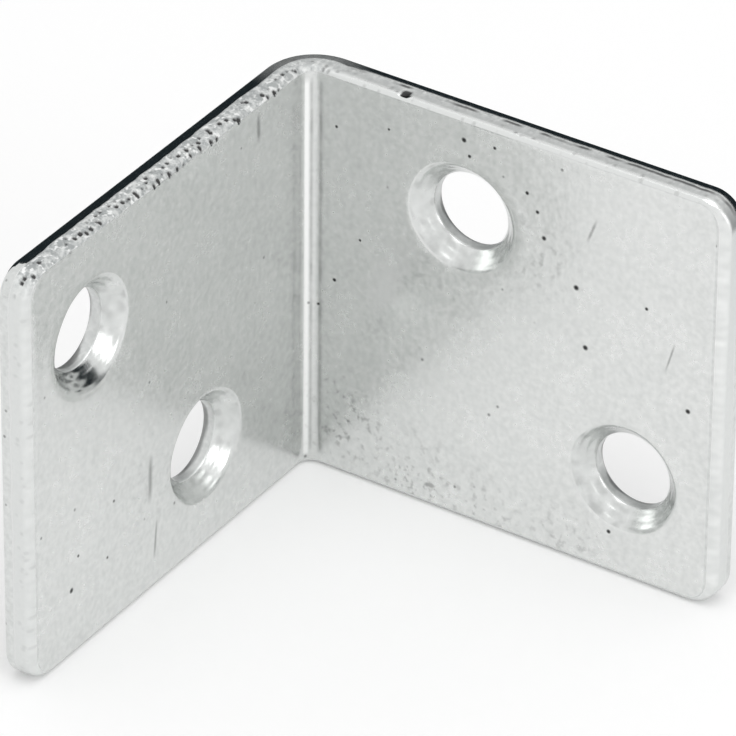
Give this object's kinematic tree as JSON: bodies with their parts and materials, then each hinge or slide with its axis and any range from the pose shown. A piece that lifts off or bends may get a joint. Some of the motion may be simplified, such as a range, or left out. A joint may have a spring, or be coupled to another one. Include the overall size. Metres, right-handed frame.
{
  "type": "corner brace bracket",
  "caption": "Wide corner brace bracket folded from one zinc-plated steel sheet, with countersunk holes set diagonally in each leaf to stiffen and join a right-angled corner.",
  "frame": {"origin": "middle of the footprint's bounding box, level with the lower edges, with the bracket standing on its strip edges", "axes": "+Z along the fold; one leaf runs along +X with its outer face towards -Y, the other runs along +Y with its outer face towards -X, and the inside corner opens towards +X and +Y"},
  "size_m": [0.038, 0.038, 0.0345],
  "materials": {
    "zinc_steel": "bright zinc plating over steel sheet, satin with a fine mottle"
  },
  "bodies": {
    "root": {"bracket": "zinc_steel"}
  },
  "joints": []
}
